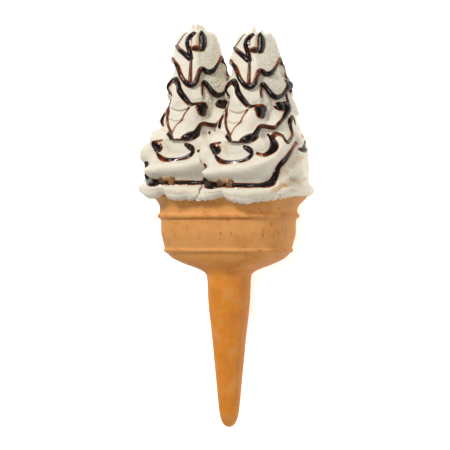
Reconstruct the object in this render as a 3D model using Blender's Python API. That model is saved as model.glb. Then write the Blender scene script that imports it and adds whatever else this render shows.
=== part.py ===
"""A twin soft-serve ice cream cone that lies on its back.

One moulded wafer with a long cup carries two swirls side by side, each with chocolate
sauce and two nut halves fused on. X runs along the cup, Y up the cone's axis from 0 at the
rim, and Z out of the front, which looks up. The cone lies on the backs of the two swirls,
which are pressed flat there, and its light handle is held clear of the ground by them.
"""
import math

import bmesh
import bpy
import numpy as np
from mathutils import Matrix, Vector

MM = 0.001

# Driving dimensions, in metres and degrees
LEFT_SWIRL_X = -20.8 * MM
RIGHT_SWIRL_X = 16.2 * MM
LEFT_SWIRL_LIFT = 1.6 * MM
FACING = math.radians(30.0)
FLOOR_Z = -30.2 * MM
FIT_GAP = 0.35 * MM
CUP_HALF_SPAN = 18.0 * MM
RIM_TOP = 0.5 * MM
RECESS_DEPTH = 9.4 * MM
RECESS_RADIUS = 21.0 * MM
PLUG_DEPTH = 8.4 * MM
PLUG_RADIUS = 19.0 * MM
SKIRT_RADIUS = 31.6 * MM
SKIRT_OVERHANG = 3.5 * MM
WAFER_SIDES = 40
FRONT_STEPS = 27
BACK_STEPS = 11

# Radius of a swirl at each height above the rim, in millimetres
ENVELOPE = ((-4.5, 28.0), (-3.0, 30.2), (0.0, 31.4), (3.0, 31.6), (6.0, 30.2), (9.0, 29.4),
            (17.0, 29.3), (25.0, 28.7), (29.0, 27.2), (33.0, 24.4), (39.0, 21.6), (46.0, 20.2),
            (53.0, 18.8), (60.0, 17.2), (66.0, 15.8), (72.0, 14.4), (78.0, 12.7), (84.0, 10.7),
            (86.5, 10.0), (88.0, 8.8), (88.8, 6.3), (89.3, 0.0))
LEVELS = (-4.5, -3.2, -1.0, 2.0, 4.5, 6.5, 9.0, 12.0, 15.0, 17.5, 20.0, 22.5, 25.0, 27.5, 30.0,
          32.5, 35.5, 38.0, 41.0, 44.0, 47.0, 50.0, 53.5, 57.0, 60.0, 63.0, 66.5, 70.0, 73.5,
          77.0, 80.5, 84.0, 86.5, 88.0, 88.8)

# Lower edge of the skirt at each angle from the front, in degrees and millimetres
SKIRT_EDGE = ((-180, -1.5), (-150, -2.5), (-125, -1.0), (-95, 0.5), (-78, -1.0), (-64, -3.1),
              (-52, -2.8), (-46, -1.2), (-38, -1.2), (-33, -3.4), (-18, -4.6), (-12, -4.7),
              (0, -4.0), (20, -2.6), (32, -2.0), (45, -0.7), (58, -0.4), (80, 1.0), (110, -0.5),
              (130, -2.4), (150, -1.0), (165, -2.0), (180, -1.5))

# Lines on a swirl as (sideways, height) in millimetres, as the front shows them
CROWN_LEFT = ((-1.6, 87.4), (-4.3, 84.0), (-4.7, 79.4), (-5.1, 75.5))
CROWN_RIGHT = ((2.6, 87.0), (3.0, 81.8), (1.4, 78.5), (-0.8, 79.4), (-3.2, 79.1))
CROWN_SIDE = ((-10.8, 80.9), (-8.1, 77.4), (-4.7, 74.7))
UPPER_EDGE = ((-12.4, 73.6), (-10.5, 68.6), (-8.1, 63.1), (-3.9, 58.9), (-0.4, 60.1), (1.5, 66.3),
              (2.3, 68.6), (5.0, 66.3), (7.3, 66.3), (9.6, 69.4), (11.5, 74.4), (12.7, 72.8),
              (14.6, 68.6), (16.6, 64.8))
LEFT_ARCH = ((-16.3, 53.2), (-16.3, 57.6), (-14.7, 60.9), (-12.8, 62.0), (-11.3, 60.9),
             (-9.7, 57.1), (-7.4, 53.2), (-4.7, 49.4), (-3.1, 47.7), (-0.4, 48.5), (3.0, 47.7))
RIGHT_LOBE_EDGE = ((2.9, 53.2), (3.0, 61.2), (5.8, 57.6), (8.0, 54.3), (11.1, 53.2), (14.2, 55.4),
                   (16.2, 60.5))
MIDDLE_EDGE = ((-12.9, 29.0), (-8.5, 29.0), (-3.1, 30.7), (0.7, 35.4), (2.6, 37.7), (5.7, 36.5),
               (9.6, 36.5), (11.8, 38.4), (14.2, 41.7), (16.2, 45.5), (16.6, 51.6), (17.0, 56.2))
LEFT_LINE = ((-17.1, 46.1), (-16.7, 40.8), (-15.9, 35.4), (-13.6, 30.0))
RIGHT_WAVE = ((1.1, 22.7), (5.7, 21.9), (8.4, 23.8), (10.0, 27.7), (8.4, 31.8), (10.3, 33.4),
              (12.7, 32.7), (15.0, 30.0), (17.3, 29.2), (19.2, 32.3), (19.5, 37.8), (19.2, 42.8))
POCKET = ((-19.5, 28.5), (-25.1, 27.7), (-24.4, 23.5), (-22.1, 20.0), (-19.0, 18.0), (-12.9, 18.0),
          (-6.6, 18.4), (-2.8, 20.0), (-1.6, 23.0), (-4.3, 25.4), (-6.6, 26.5))
BASE_LINE = ((-27.6, 12.4), (-26.9, 8.2), (-24.2, 5.6), (-20.0, 4.8), (-10.5, 4.8), (2.5, 4.8),
             (6.3, 5.7), (10.0, 8.4), (11.8, 12.2), (13.9, 16.1), (17.3, 20.0), (21.2, 24.6),
             (23.9, 29.2))
ROLL_TOP = ((-24.0, 22.5), (-22.1, 20.0), (-19.0, 18.0), (-12.9, 18.0), (-6.6, 18.4), (-2.8, 20.0),
            (1.1, 22.0), (5.7, 22.2), (8.4, 23.8), (10.0, 27.7), (9.0, 32.0))
ROLL_CREST = ((-25.0, 13.6), (-15.1, 14.9), (-6.9, 16.0), (-1.4, 17.8), (4.1, 19.7), (8.5, 22.4),
              (11.8, 25.7), (13.2, 30.1), (12.1, 32.9))
FLAKY_RIDGE = ((15.7, 7.0), (20.1, 14.2), (23.9, 21.3))
RIGHT_CREASE = ((11.8, 1.5), (20.1, 9.2))

# Lines round the back of a swirl as (angle from the front, height)
BACK_LOW = ((95, 30.5), (135, 34.0), (180, 34.5), (225, 33.0), (268, 29.5))
BACK_MIDDLE = ((80, 45.5), (120, 43.0), (180, 46.0), (230, 50.0), (285, 54.0))
BACK_HIGH = ((78, 63.0), (130, 62.0), (180, 67.0), (235, 70.0), (290, 73.6))
BACK_BASE = ((95, 8.0), (135, 9.0), (180, 10.5), (225, 9.0), (270, 8.5))
BACK_SAUCE_LOW = ((118, 42.0), (138, 37.0), (158, 45.0), (176, 36.5), (198, 47.0), (222, 41.0))
BACK_SAUCE_HIGH = ((120, 63.5), (142, 56.5), (166, 68.0), (190, 60.0), (214, 72.0), (240, 66.0))
BACK_SAUCE_CROWN = ((140, 84.0), (160, 77.0), (182, 82.5), (204, 76.5))

# Relief along a line: proud or sunk height, then how far it reaches above and below, in
# millimetres, and whether it is a step, which is as deep on the one side as proud on the other
FRONT_RELIEF = ((UPPER_EDGE, 1.2, 6.0, 3.5, True), (RIGHT_LOBE_EDGE, 1.3, 5.0, 3.0, True),
                (LEFT_ARCH, -0.9, 1.6, 1.6, False), (MIDDLE_EDGE, 1.5, 5.0, 4.0, True),
                (ROLL_TOP, -2.0, 5.0, 1.8, False), (ROLL_CREST, 2.7, 2.8, 5.0, False),
                (BASE_LINE, -3.0, 4.5, 1.8, False), (FLAKY_RIDGE, 1.3, 2.6, 2.6, False),
                (RIGHT_CREASE, -1.2, 1.6, 1.6, False))
BACK_RELIEF = ((BACK_LOW, 1.4, 5.0, 4.0, True), (BACK_MIDDLE, 1.4, 5.0, 4.0, True),
               (BACK_HIGH, 1.1, 5.0, 3.5, True), (BACK_BASE, -1.2, 2.2, 2.2, False))

# Lumps and hollows: sideways, height, half width, half height and proud height, in millimetres
LUMPS = ((-1.1, 83.5, 2.0, 4.5, 1.8), (8.8, 78.0, 5.5, 10.0, 1.3), (10.7, 62.0, 6.0, 6.0, 1.5),
         (-4.7, 68.0, 4.5, 8.0, 0.7), (0.0, 69.2, 1.6, 8.0, 0.9), (-10.2, 52.7, 5.2, 5.5, 2.2),
         (-3.6, 41.7, 4.0, 5.5, 2.2), (5.2, 42.5, 2.6, 4.0, -1.8), (5.0, 32.3, 2.2, 2.6, -1.5),
         (8.4, 45.0, 3.0, 5.5, -1.3), (-21.5, 32.0, 4.5, 4.5, 3.4), (-13.0, 24.0, 8.0, 4.5, -2.2),
         (-27.6, 21.8, 4.3, 5.2, 4.6), (-26.0, 12.6, 4.5, 3.6, 2.4), (24.0, 13.7, 4.5, 6.5, 1.0))
LEFT_HOLLOW = (-90.0, 49.0, 14.0, 9.0, -3.3)
LEFT_NECK = (-90.0, 66.5, 12.0, 5.0, -2.2)
RIGHT_SWELL = (85.0, 44.5, 13.0, 13.5, 2.4)
BACK_SWELL = (150.0, 21.0, 15.0, 17.0, 5.0)

# Peaks left by the nozzle: sideways, forward, reach and rise, in millimetres
PEAKS = ((-0.9, 2.0, 1.7, 4.4), (3.4, 1.0, 1.8, 2.6), (7.4, 0.0, 1.9, 1.0), (-3.8, -2.0, 2.4, 1.6))

# Sauce lines that are fused on, with their radius in millimetres
FRONT_SAUCE = ((CROWN_LEFT, 1.35), (CROWN_RIGHT, 1.3), (CROWN_SIDE, 1.1), (UPPER_EDGE, 1.15),
               (LEFT_ARCH, 1.15), (RIGHT_LOBE_EDGE, 1.1), (MIDDLE_EDGE, 1.25), (LEFT_LINE, 0.95),
               (RIGHT_WAVE, 1.05), (POCKET, 1.05), (BASE_LINE, 1.35))
BACK_SAUCE = ((BACK_SAUCE_LOW, 1.15), (BACK_SAUCE_HIGH, 1.15), (BACK_SAUCE_CROWN, 1.1))
KEPT_SHARE = 0.7
SHORTEST_EDGE = 0.002 * MM
SAUCE_SPACING = 3.3 * MM

# Pools of sauce and the two nut halves: sideways, height, half width, half height, half depth
POOLS = ((3.2, 46.0, 2.9, 3.6, 1.6), (15.0, 47.4, 2.8, 3.2, 1.6), (-3.1, 31.0, 4.6, 1.9, 1.4),
         (-22.0, 25.4, 2.6, 2.3, 1.6), (-21.8, 8.3, 5.4, 3.3, 1.9))
NUT_HALVES = ((-20.3, 8.5, 2.6, 2.4, 3.3), (-14.8, 8.4, 2.7, 2.5, 3.4))

# Outline of the wafer down from the rim: height, radius of the round ends and half the
# distance between their centres, in millimetres
WAFER_PROFILE = ((0.5, 25.2, 18.0), (0.5, 26.4, 18.0), (-0.4, 26.8, 18.0), (-2.6, 25.2, 18.0),
                 (-5.2, 23.3, 18.0), (-9.4, 23.1, 18.0), (-10.3, 24.0, 18.0), (-11.8, 24.1, 18.0),
                 (-13.0, 22.4, 18.0), (-21.0, 21.9, 18.0), (-28.4, 20.3, 18.0),
                 (-30.4, 20.6, 18.0), (-31.6, 19.2, 17.6), (-34.6, 17.6, 15.4),
                 (-37.4, 15.8, 10.6), (-40.0, 13.9, 4.6), (-42.6, 12.5, 0.0), (-51.0, 11.9, 0.0),
                 (-60.6, 11.4, 0.0), (-72.2, 10.1, 0.0), (-87.0, 8.6, 0.0), (-101.3, 7.2, 0.0),
                 (-112.0, 6.2, 0.0), (-121.7, 4.8, 0.0), (-125.2, 3.5, 0.0), (-126.8, 1.8, 0.0))
HANDLE_TIP = -127.2 * MM


def smooth_curve(knots, x):
    """Height at x of the smooth curve through the knots, which never overshoots them."""
    kx, ky = np.array(knots, dtype=float).T
    steps = np.diff(kx)
    slopes = np.diff(ky) / steps
    tangents = np.empty(len(kx))
    tangents[0], tangents[-1] = slopes[0], slopes[-1]
    before, after = slopes[:-1], slopes[1:]
    same_way = before * after > 0
    total = np.where(same_way, before + after, 1.0)
    tangents[1:-1] = np.where(same_way, 2 * before * after / total, 0.0)
    i = np.clip(np.searchsorted(kx, x) - 1, 0, len(steps) - 1)
    t = np.clip((x - kx[i]) / steps[i], 0.0, 1.0)
    start = (1 + 2 * t) * (1 - t) ** 2 * ky[i] + t * (1 - t) ** 2 * steps[i] * tangents[i]
    end = t * t * (3 - 2 * t) * ky[i + 1] + t * t * (t - 1) * steps[i] * tangents[i + 1]
    return start + end


def smooth_step(x):
    """0 below 0, 1 above 1 and an even rise between."""
    t = np.clip(x, 0.0, 1.0)
    return t * t * (3 - 2 * t)


def through(points, spacing):
    """Points about one spacing apart along the smooth line through the given points."""
    p = np.array(points, dtype=float)
    p = np.vstack([2 * p[0] - p[1], p, 2 * p[-1] - p[-2]])
    line = [p[1]]
    for a, b, c, d in zip(p[:-3], p[1:-2], p[2:-1], p[3:]):
        count = max(1, round(np.linalg.norm(c - b) / spacing))
        for t in np.arange(1, count + 1) / count:
            line.append(0.5 * (2 * b + (c - a) * t + (2 * a - 5 * b + 4 * c - d) * t ** 2
                               + (3 * b - a - 3 * c + d) * t ** 3))
    return np.array(line)


def angle_at(sideways, height):
    """Angle from the front of a point that lies sideways of a swirl's axis at a height."""
    return np.arcsin(np.clip(sideways / smooth_curve(ENVELOPE, height), -0.98, 0.98))


def unroll(line, from_front):
    """A line as (arc, height) on the unrolled swirl, with the radius that it is unrolled by."""
    points = np.array(line, dtype=float)
    radius = smooth_curve(ENVELOPE, points[:, 1].mean())
    if from_front:
        angles = angle_at(points[:, 0], points[:, 1])
    else:
        angles = np.radians(points[:, 0])
    return through(np.column_stack([angles * radius, points[:, 1]]), 1.5), radius


def wrapped_arc(angle, middle, radius):
    """Arc of each angle on the turn that lies nearest to the middle angle."""
    return ((angle - middle + math.pi) % (2 * math.pi) - math.pi + middle) * radius


def line_relief(line, from_front, rise, above, below, step, angle, height):
    """Relief of one line over the whole swirl, in millimetres."""
    path, radius = unroll(line, from_front)
    middle = path[:, 0].mean() / radius
    arc = wrapped_arc(angle, middle, radius)
    best = np.full(arc.shape, 1e9)
    side = np.zeros(arc.shape)
    past_end = np.zeros(arc.shape)
    last = len(path) - 2
    for i, (a, b) in enumerate(zip(path[:-1], path[1:])):
        run = b - a
        length = np.hypot(*run)
        along = ((arc - a[0]) * run[0] + (height - a[1]) * run[1]) / length
        inside = np.clip(along, 0.0, length)
        away = np.hypot(arc - a[0] - inside * run[0] / length,
                        height - a[1] - inside * run[1] / length)
        nearer = away < best
        cross = run[0] * (height - a[1]) - run[1] * (arc - a[0])
        beyond = np.zeros(arc.shape)
        if i == 0:
            beyond = np.maximum(beyond, -along)
        if i == last:
            beyond = np.maximum(beyond, along - length)
        best = np.where(nearer, away, best)
        side = np.where(nearer, np.sign(cross), side)
        past_end = np.where(nearer, beyond, past_end)
    fade = np.exp(-(past_end / 3.0) ** 2)
    if step:
        shape = side * np.tanh(best / 0.6) * np.exp(-best / np.where(side > 0, above, below))
    else:
        shape = np.exp(-(best / np.where(side > 0, above, below)) ** 2)
    return rise * shape * fade


def lump_relief(middle, level, half_width, half_height, rise, angle, height):
    """Relief of one round lump or hollow, whose middle is given as an angle."""
    radius = smooth_curve(ENVELOPE, level)
    arc = wrapped_arc(angle, middle, radius) - middle * radius
    q = (arc / half_width) ** 2 + ((height - level) / half_height) ** 2
    return rise * np.exp(-q ** 1.5 * 0.8)


def relief(angle, height):
    """All relief of a swirl at an angle from its front and a height, in millimetres."""
    total = np.zeros(np.broadcast(angle, height).shape)
    for line, rise, above, below, step in FRONT_RELIEF:
        total += line_relief(line, True, rise, above, below, step, angle, height)
    for line, rise, above, below, step in BACK_RELIEF:
        total += line_relief(line, False, rise, above, below, step, angle, height)
    for sideways, level, half_width, half_height, rise in LUMPS:
        middle = float(angle_at(sideways, level))
        total += lump_relief(middle, level, half_width, half_height, rise, angle, height)
    for degrees, level, half_width, half_height, rise in (LEFT_HOLLOW, LEFT_NECK, RIGHT_SWELL,
                                                          BACK_SWELL):
        middle = math.radians(degrees)
        total += lump_relief(middle, level, half_width, half_height, rise, angle, height)
    return total


def swirl_radius(angle, height):
    """Radius of a swirl in metres at an angle from its front and a height in millimetres."""
    body = smooth_curve(ENVELOPE, height)
    return np.maximum(body + relief(angle, height) * np.clip(body / 9.0, 0.0, 1.0), 0.0) * MM


def cup_ring(height, end_radius, half_span, sides):
    """Points round the long cup at one height, counted from its right end."""
    turn = np.linspace(0.0, 2 * math.pi, sides, endpoint=False)
    spread = half_span * np.tanh(3.0 * np.cos(turn))
    return np.column_stack([end_radius * np.cos(turn) + spread, np.full(sides, height),
                            end_radius * np.sin(turn)])


def distance_to_ring(ring, centre_x, directions):
    """Distance from a swirl's axis to a ring of the cup, in each direction round that axis."""
    x = ring[:, 0] - centre_x
    z = ring[:, 2]
    angles = np.arctan2(x, z)
    order = np.argsort(angles)
    return np.interp(directions, angles[order], np.hypot(x, z)[order], period=2 * math.pi)


def in_cone_space(sideways, height, forward, centre_x):
    """Points given by a swirl's own front, as points of the cone."""
    x = centre_x + sideways * math.cos(FACING) + forward * math.sin(FACING)
    z = forward * math.cos(FACING) - sideways * math.sin(FACING)
    return np.stack([x, height, z], axis=-1)


def press_flat(obj):
    """Press a mesh flat where it would reach below the ground."""
    for vertex in obj.data.vertices:
        vertex.co.z = max(vertex.co.z, FLOOR_Z)


def swirl_rings(centre_x, lift, grow):
    """Rings of one swirl from under the rim to its tip, grown all round by a small amount."""
    front = np.linspace(-105.0, 105.0, FRONT_STEPS, endpoint=False)
    back = np.linspace(105.0, 255.0, BACK_STEPS, endpoint=False)
    angle = np.radians(np.concatenate([front, back]))
    degrees = np.degrees((angle + math.pi) % (2 * math.pi) - math.pi)
    rim = cup_ring(0.0, 26.8 * MM, CUP_HALF_SPAN, 4 * WAFER_SIDES)
    to_rim = distance_to_ring(rim, centre_x, angle + FACING) + FIT_GAP - grow
    wider = np.clip(to_rim + SKIRT_OVERHANG - SKIRT_RADIUS, 0.0, 4.5 * MM)
    wider *= 1.0 - smooth_step((to_rim - 34.0 * MM) / (6.0 * MM))
    underside = RIM_TOP + FIT_GAP - grow
    hangs = smooth_step((SKIRT_RADIUS + wider - to_rim) / (2.0 * MM))
    edge = smooth_curve(SKIRT_EDGE, degrees) * MM + lift
    edge = underside + 0.8 * MM + (edge - underside - 0.8 * MM) * hangs
    rings = []
    level_low = LEVELS[0] * MM
    for level in LEVELS:
        near_edge = 1.0 - smooth_step((level - LEVELS[0]) / 11.0)
        height = level * MM + lift + (edge - lift - level_low) * near_edge
        radius = swirl_radius(angle, np.full(angle.shape, float(level)))
        radius = radius + wider * near_edge + grow
        radius = np.where(height < underside, np.maximum(radius, to_rim + 0.7 * MM), radius)
        sideways = radius * np.sin(angle)
        forward = radius * np.cos(angle)
        top = smooth_step((level - 82.0) / 5.0)
        for across, ahead, reach, rise in PEAKS:
            q = (sideways / MM - across) ** 2 + (forward / MM - ahead) ** 2
            height = height + rise * MM * top * np.exp(-q / reach ** 2)
        rings.append(in_cone_space(sideways, height, forward, centre_x))
    lowest = np.linalg.norm(rings[0][:, [0, 2]] - [centre_x, 0.0], axis=1)
    inner = np.minimum(to_rim, lowest - 0.5 * MM)
    plug = np.full(angle.shape, PLUG_RADIUS + grow)
    below = []
    for radius, height in ((plug, np.full(angle.shape, -PLUG_DEPTH - grow)),
                           (plug, np.full(angle.shape, underside)),
                           (inner, np.full(angle.shape, underside)),
                           (inner, edge + 0.3 * MM)):
        below.append(in_cone_space(radius * np.sin(angle), height, radius * np.cos(angle), centre_x))
    return np.array(below + rings)


def mesh_object(name, rings, start, end, collection, material):
    """A closed mesh from rings that are joined one to the next, with a point at either end."""
    count, sides = len(rings), len(rings[0])
    points = [tuple(p) for ring in rings for p in ring] + [tuple(start), tuple(end)]
    faces = []
    for i in range(sides):
        j = (i + 1) % sides
        faces.append((count * sides, i, j))
        for k in range(count - 1):
            faces.append((k * sides + i, (k + 1) * sides + i, (k + 1) * sides + j, k * sides + j))
        faces.append((count * sides + 1, (count - 1) * sides + j, (count - 1) * sides + i))
    mesh = bpy.data.meshes.new(name)
    mesh.from_pydata(points, [], faces)
    return finished(name, mesh, collection, material)


def finished(name, mesh, collection, material):
    """An object of the mesh, with its faces turned outwards, its shading and its material."""
    work = bmesh.new()
    work.from_mesh(mesh)
    bmesh.ops.triangulate(work, faces=work.faces)
    bmesh.ops.recalc_face_normals(work, faces=work.faces)
    work.to_mesh(mesh)
    work.free()
    mesh.shade_smooth()
    mesh.set_sharp_from_angle(angle=math.radians(40.0))
    mesh.materials.append(material)
    obj = bpy.data.objects.new(name, mesh)
    collection.objects.link(obj)
    return obj


def surface_point(sideways, height, lift, centre_x, out):
    """Point on or just outside a swirl at a place that the front shows, in cone space."""
    angle = angle_at(sideways, height)
    for _ in range(3):
        ratio = sideways * MM / swirl_radius(angle, np.asarray(height, dtype=float))
        angle = np.arcsin(np.clip(ratio, -0.98, 0.98))
    return point_at(angle, height, lift, centre_x, out)


def point_at(angle, height, lift, centre_x, out):
    """Point on or just outside a swirl at an angle and a height in millimetres."""
    radius = swirl_radius(angle, np.asarray(height, dtype=float)) + out
    return in_cone_space(radius * np.sin(angle), height * MM + lift, radius * np.cos(angle), centre_x)


def clear_of_right_swirl(points, margin):
    """Whether each point of the left swirl is outside the right one by the margin."""
    x = points[..., 0] - RIGHT_SWIRL_X
    z = points[..., 2]
    angle = np.arctan2(x, z) - FACING
    return np.hypot(x, z) > swirl_radius(angle, points[..., 1] / MM) + margin


def sauce_tube(name, points, radius, collection, material):
    """A round line of sauce along the points, as a welded mesh."""
    curve = bpy.data.curves.new(name, "CURVE")
    curve.dimensions = "3D"
    curve.bevel_depth = radius
    curve.bevel_resolution = 0
    curve.use_fill_caps = True
    spline = curve.splines.new("POLY")
    spline.points.add(len(points) - 1)
    for point, place in zip(spline.points, points):
        point.co = (*place, 1.0)
    spline.points[0].radius = 0.7
    spline.points[-1].radius = 0.7
    guide = bpy.data.objects.new(name, curve)
    collection.objects.link(guide)
    graph = bpy.context.evaluated_depsgraph_get()
    mesh = bpy.data.meshes.new_from_object(guide.evaluated_get(graph))
    work = bmesh.new()
    work.from_mesh(mesh)
    bmesh.ops.remove_doubles(work, verts=work.verts, dist=1e-6)
    work.to_mesh(mesh)
    work.free()
    mesh.materials.clear()
    tube = finished(name, mesh, collection, material)
    tube.matrix_world = guide.matrix_world
    bpy.data.objects.remove(guide)
    return tube


def pool(name, place, outward, size, collection, material):
    """A flat round drop of sauce or a nut half, which lies on the swirl."""
    mesh = bpy.data.meshes.new(name)
    work = bmesh.new()
    bmesh.ops.create_icosphere(work, subdivisions=2, radius=1.0)
    facing = Vector(outward).to_track_quat("Z", "Y").to_matrix().to_4x4()
    scale = Matrix.Diagonal((size[0], size[1], size[2], 1.0))
    bmesh.ops.transform(work, matrix=Matrix.Translation(Vector(place)) @ facing @ scale, verts=work.verts)
    work.to_mesh(mesh)
    work.free()
    return finished(name, mesh, collection, material)


def boolean(target, operation, other=None, group=None):
    """Apply one Boolean to the target, with another object or a collection.

    The folded undersides make the EXACT solver fail on these swirls, so it is MANIFOLD.
    """
    modifier = target.modifiers.new(operation.title(), "BOOLEAN")
    modifier.operation = operation
    modifier.solver = "MANIFOLD"
    if group is not None:
        modifier.operand_type = "COLLECTION"
        modifier.collection = group
    else:
        modifier.object = other
    graph = bpy.context.evaluated_depsgraph_get()
    result = bpy.data.meshes.new_from_object(target.evaluated_get(graph))
    target.modifiers.remove(modifier)
    target.data = result


def keep_largest_piece(obj):
    """Drop every loose scrap of a mesh but its largest piece."""
    work = bmesh.new()
    work.from_mesh(obj.data)
    left = set(work.verts)
    pieces = []
    while left:
        piece = set()
        front = [left.pop()]
        while front:
            vertex = front.pop()
            piece.add(vertex)
            for edge in vertex.link_edges:
                other = edge.other_vert(vertex)
                if other in left:
                    left.remove(other)
                    front.append(other)
        pieces.append(piece)
    pieces.sort(key=len)
    for piece in pieces[:-1]:
        bmesh.ops.delete(work, geom=list(piece), context="VERTS")
    work.to_mesh(obj.data)
    work.free()


def thin_out(obj):
    """Collapse the slivers that the joins leave."""
    modifier = obj.modifiers.new("Thin out", "DECIMATE")
    modifier.ratio = KEPT_SHARE
    graph = bpy.context.evaluated_depsgraph_get()
    result = bpy.data.meshes.new_from_object(obj.evaluated_get(graph))
    obj.modifiers.remove(modifier)
    work = bmesh.new()
    work.from_mesh(result)
    bmesh.ops.remove_doubles(work, verts=work.verts, dist=SHORTEST_EDGE)
    loose = [edge for edge in work.edges if not edge.link_faces]
    bmesh.ops.delete(work, geom=loose, context="EDGES")
    bmesh.ops.triangulate(work, faces=work.faces)
    work.to_mesh(result)
    work.free()
    obj.data = result


def swirl(name, centre_x, lift, grow, collection, material):
    """The body of one swirl, without its sauce."""
    rings = swirl_rings(centre_x, lift, grow)
    start = (centre_x, -PLUG_DEPTH - grow, 0.0)
    end = (centre_x, rings[-1][:, 1].mean() + 0.5 * MM, 0.0)
    return mesh_object(name, rings, start, end, collection, material)


def add_sauce_and_nuts(body, centre_x, lift, grow, toppings, sauce, nut):
    """Fuse the sauce lines, the pools and the nut halves to one swirl, grown by a small amount."""
    is_left = centre_x < 0
    for number, (line, radius) in enumerate(FRONT_SAUCE + BACK_SAUCE):
        path = through(line, SAUCE_SPACING / MM)
        if (line, radius) in FRONT_SAUCE:
            points = surface_point(path[:, 0], path[:, 1], lift, centre_x, 0.2 * radius * MM)
        else:
            path, unrolled_by = unroll(line, False)
            path = path[::2]
            points = point_at(path[:, 0] / unrolled_by, path[:, 1], lift, centre_x, 0.2 * radius * MM)
        if is_left:
            points = points[clear_of_right_swirl(points, 2.0 * MM + radius * MM)]
        if len(points) > 2:
            name = f"{body.name}_line_{number}"
            sauce_tube(name, points, radius * MM + grow, toppings, sauce)
    for group, material in ((POOLS, sauce), (NUT_HALVES, nut)):
        for number, (sideways, height, *size) in enumerate(group):
            on_it = surface_point(np.float64(sideways), np.float64(height), lift, centre_x, 0.0)
            outside = surface_point(np.float64(sideways), np.float64(height), lift, centre_x, MM)
            if is_left and not clear_of_right_swirl(on_it, max(size) * MM + 2.0 * MM):
                continue
            name = f"{body.name}_{material.name}_{number}"
            size = [s * MM + grow for s in size]
            pool(name, on_it, outside - on_it, size, toppings, material)
    boolean(body, "UNION", group=toppings)
    for obj in list(toppings.objects):
        bpy.data.objects.remove(obj)
    keep_largest_piece(body)


def wafer(name, grow, collection, material):
    """The wafer, grown by a small amount: its recess, rim, band and handle."""
    bottom = RIM_TOP - RECESS_DEPTH + grow
    rings = []
    for height, radius in ((bottom, RECESS_RADIUS), (bottom + MM, RECESS_RADIUS + MM)):
        rings.append(cup_ring(height, radius - grow, CUP_HALF_SPAN, WAFER_SIDES))
    for height, radius, half_span in WAFER_PROFILE:
        on_top = height * MM == RIM_TOP
        place = height * MM + (grow if on_top else 0.0)
        wider = -grow if radius == WAFER_PROFILE[0][1] else grow
        rings.append(cup_ring(place, radius * MM + wider, half_span * MM, WAFER_SIDES))
    start, end = (0.0, bottom, 0.0), (0.0, HANDLE_TIP, 0.0)
    return mesh_object(name, np.array(rings), start, end, collection, material)


def plain_material(name, colour, roughness):
    """A plain Principled material."""
    material = bpy.data.materials.new(name)
    material.use_nodes = True
    surface = material.node_tree.nodes["Principled BSDF"]
    surface.inputs["Base Color"].default_value = (*colour, 1.0)
    surface.inputs["Roughness"].default_value = roughness
    surface.inputs["Metallic"].default_value = 0.0
    return material


def stand_on_origin(objects):
    """Move the parts so that the middle of their box's underside is the origin."""
    corners = np.array([v.co[:] for obj in objects for v in obj.data.vertices])
    low, high = corners.min(axis=0), corners.max(axis=0)
    shift = Matrix.Translation((-(low[0] + high[0]) / 2, -(low[1] + high[1]) / 2, -low[2]))
    for obj in objects:
        obj.data.transform(shift)
        obj.data.update()


def build():
    """Make the three parts of the cone."""
    for obj in list(bpy.data.objects):
        bpy.data.objects.remove(obj)
    parts = bpy.data.collections.new("ice_cream_cone")
    toppings = bpy.data.collections.new("toppings")
    spaces = bpy.data.collections.new("spaces")
    for collection in (parts, toppings, spaces):
        bpy.context.scene.collection.children.link(collection)
    cream = plain_material("vanilla_ice_cream", (0.83, 0.77, 0.65), 0.55)
    sauce = plain_material("chocolate_sauce", (0.02, 0.01, 0.006), 0.2)
    nut = plain_material("nut", (0.24, 0.12, 0.06), 0.5)
    crust = plain_material("baked_wafer", (0.62, 0.28, 0.09), 0.7)
    cone = wafer("wafer_cone", 0.0, parts, crust)
    right = swirl("ice_cream_right", RIGHT_SWIRL_X, 0.0, 0.0, parts, cream)
    left = swirl("ice_cream_left", LEFT_SWIRL_X, LEFT_SWIRL_LIFT, 0.0, parts, cream)
    for body in (right, left):
        press_flat(body)
    beside = swirl("space_of_right_swirl", RIGHT_SWIRL_X, 0.0, FIT_GAP, spaces, cream)
    add_sauce_and_nuts(beside, RIGHT_SWIRL_X, 0.0, FIT_GAP, toppings, sauce, nut)
    below = wafer("space_of_wafer", FIT_GAP, spaces, crust)
    for body, space in ((left, beside), (left, below), (right, below)):
        boolean(body, "DIFFERENCE", other=space)
        keep_largest_piece(body)
    for space in (beside, below):
        bpy.data.objects.remove(space)
    add_sauce_and_nuts(right, RIGHT_SWIRL_X, 0.0, 0.0, toppings, sauce, nut)
    add_sauce_and_nuts(left, LEFT_SWIRL_X, LEFT_SWIRL_LIFT, 0.0, toppings, sauce, nut)
    for body in (right, left):
        thin_out(body)
        press_flat(body)
    stand_on_origin([cone, right, left])


build()
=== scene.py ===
"""A twin soft-serve ice cream cone, as it looks: baked wafer, vanilla swirls, chocolate sauce.

Sizes are in millimetres unless a name says otherwise. A place on a swirl is given as
(sideways, height): how far it shows to the right of the swirl's axis as its front is seen,
and how far it is above the wafer's rim.
"""
import math

import bpy
import numpy as np
from mathutils import Matrix, Vector


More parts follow.
